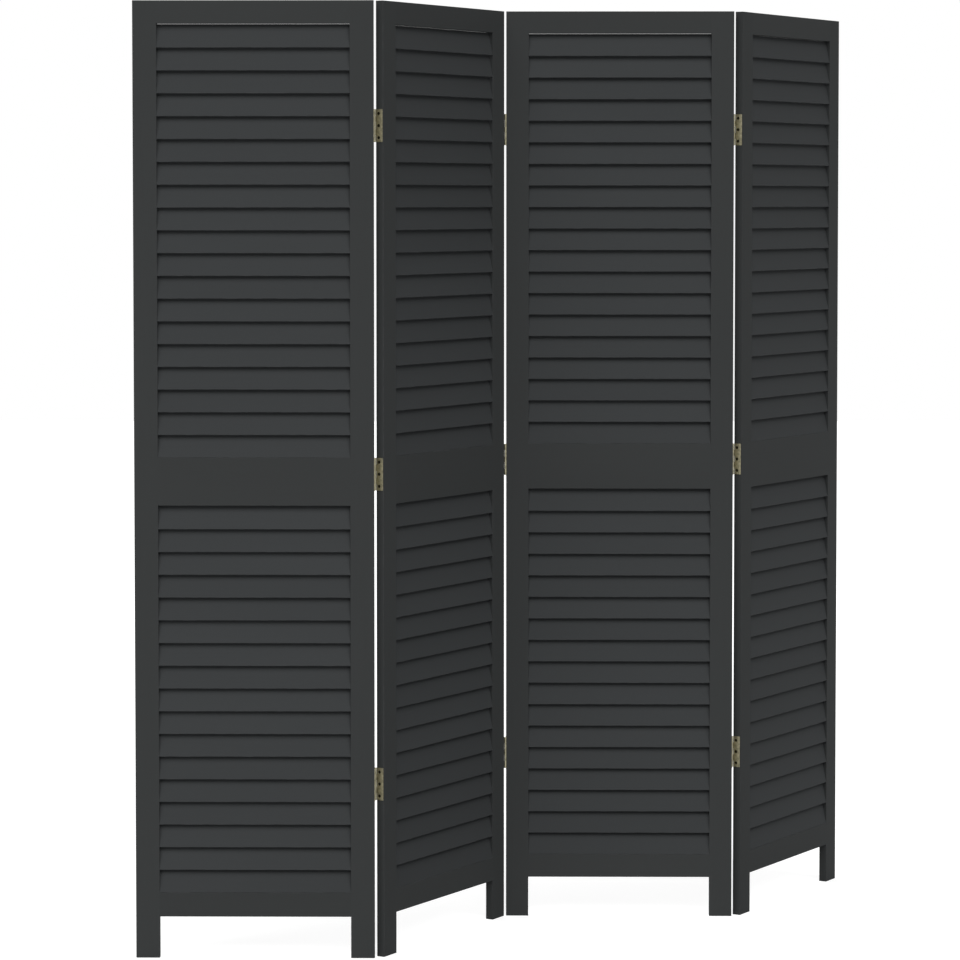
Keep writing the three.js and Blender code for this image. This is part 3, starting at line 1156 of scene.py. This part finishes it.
random_turn = random.Random(TURN_SEED)
for joint in PANELS[:-1]:
    for hinge in HINGES:
        label = f"hinge_{joint}_{joint + 1}_{hinge}"
        for side in SIDES:
            body = f"panel_{joint if side == 'left' else joint + 1}"
            place = hinge_place(joint, hinge, side)
            leaf_name = f"{label}_{side}_leaf"
            leaf = hand_over(
                copy_of(leaf_patterns[side]),
                f"{leaf_name}_rolled",
                place,
                body,
                brass_finish,
                [leaf_name],
            )
            turns = [random_turn.uniform(0, QUARTER_TURN) for _ in SCREWS_UP_A_LEAF]
            screws = hand_over(
                screws_for(turns), f"{leaf_name}_screws", place, body, screw_finish
            )
            smooth_round_faces(leaf)
            smooth_round_faces(screws)
        pin = hand_over(
            copy_of(pin_pattern),
            f"{label}_turned_pin",
            hinge_place(joint, hinge, "left"),
            f"panel_{joint}",
            pin_finish,
            [f"{label}_pin"],
        )
        smooth_round_faces(pin)
print("pieces so far:", len(made_pieces))

# %% [markdown]
# ## Floor and light
#
# The screen stands in a white studio. A white floor under enough light to look white
# would also light the dark paint from below, so the floor is pale rather than white,
# and only what the camera and reflections see of it is lifted to white. The shadow at
# the feet stays, faintly. The world works the same way: it lights the scene at a
# moderate level and looks white where it's seen.
#
# Two large soft lamps stand high in front, one on each side. They draw the dark line
# under the lower edge of each slat, which is what makes louvres read as louvres. With
# one lamp the turned panels would come out too light or too dark, and the dark lines on
# them too wide. A third lamp behind lights the backs of the panels, which would
# otherwise be nearly black.

# %% Floor
FLOOR_SIZE = 30.0
FLOOR_COLOUR = (0.5, 0.5, 0.5)
FLOOR_ROUGHNESS = 0.9
FLOOR_LIFT = 0.65


def seen_directly(tree):
    """1 for rays from the camera, from a reflection or through glass, else 0."""
    light_path = add_node(tree, "ShaderNodeLightPath").outputs
    glossy = light_path["Is Glossy Ray"]
    through_glass = light_path["Is Transmission Ray"]
    either = arithmetic(tree, "MAXIMUM", glossy, through_glass)
    return arithmetic(tree, "MAXIMUM", light_path["Is Camera Ray"], either)


def floor_material():
    material = bpy.data.materials.new("pale studio floor")
    material.use_nodes = True
    tree = material.node_tree
    shader = tree.nodes["Principled BSDF"]
    shader.inputs["Base Color"].default_value = (*FLOOR_COLOUR, 1)
    shader.inputs["Roughness"].default_value = FLOOR_ROUGHNESS
    shader.inputs["Specular IOR Level"].default_value = 0.0
    shader.inputs["Emission Color"].default_value = (1, 1, 1, 1)
    lift = arithmetic(tree, "MULTIPLY", seen_directly(tree), FLOOR_LIFT)
    tree.links.new(lift, shader.inputs["Emission Strength"])
    return material


floor_bm = bmesh.new()
bmesh.ops.create_grid(floor_bm, x_segments=1, y_segments=1, size=FLOOR_SIZE / 2)
floor_mesh = as_mesh(floor_bm, "floor")
floor_mesh.materials.append(floor_material())
floor = bpy.data.objects.new("floor", floor_mesh)
scene.collection.objects.link(floor)
print("floor size in metres:", FLOOR_SIZE)

# %% World and lamps
WORLD_LIGHT = 0.217
LAMP_ELEVATION = math.radians(44)
LAMP_AZIMUTH = math.radians(30)
LAMP_SOFTNESS = math.radians(40)
LEFT_STRENGTH = 1.49
RIGHT_STRENGTH = 1.61
BACK_STRENGTH = 2.2

world = bpy.data.worlds.new("white studio")
world.use_nodes = True
world_tree = world.node_tree
lighting = world_tree.nodes["Background"]
lighting.inputs["Color"].default_value = (1, 1, 1, 1)
lighting.inputs["Strength"].default_value = WORLD_LIGHT
white = add_node(world_tree, "ShaderNodeBackground", {"Color": (1, 1, 1, 1), "Strength": 1.0})
choice = add_node(
    world_tree,
    "ShaderNodeMixShader",
    {0: seen_directly(world_tree), 1: lighting.outputs[0], 2: white.outputs[0]},
)
world_tree.links.new(choice.outputs[0], world_tree.nodes["World Output"].inputs["Surface"])
scene.world = world


def add_lamp(name, azimuth, strength):
    lamp_data = bpy.data.lights.new(name, "SUN")
    lamp_data.angle = LAMP_SOFTNESS
    lamp_data.energy = strength
    lamp = bpy.data.objects.new(name, lamp_data)
    lamp.rotation_euler = (QUARTER_TURN - LAMP_ELEVATION, 0, azimuth)
    scene.collection.objects.link(lamp)


add_lamp("left lamp", -LAMP_AZIMUTH, LEFT_STRENGTH)
add_lamp("right lamp", LAMP_AZIMUTH, RIGHT_STRENGTH)
add_lamp("back lamp", LAMP_AZIMUTH - HALF_TURN, BACK_STRENGTH)
scene.view_settings.view_transform = "Standard"
print("height of the lamps in degrees:", round(math.degrees(LAMP_ELEVATION)))

# %% [markdown]
# ## Finishing
#
# The dressed screen has to stay inside the box of the plain solids.

# %% Finish
print("pieces made:", len(made_pieces))
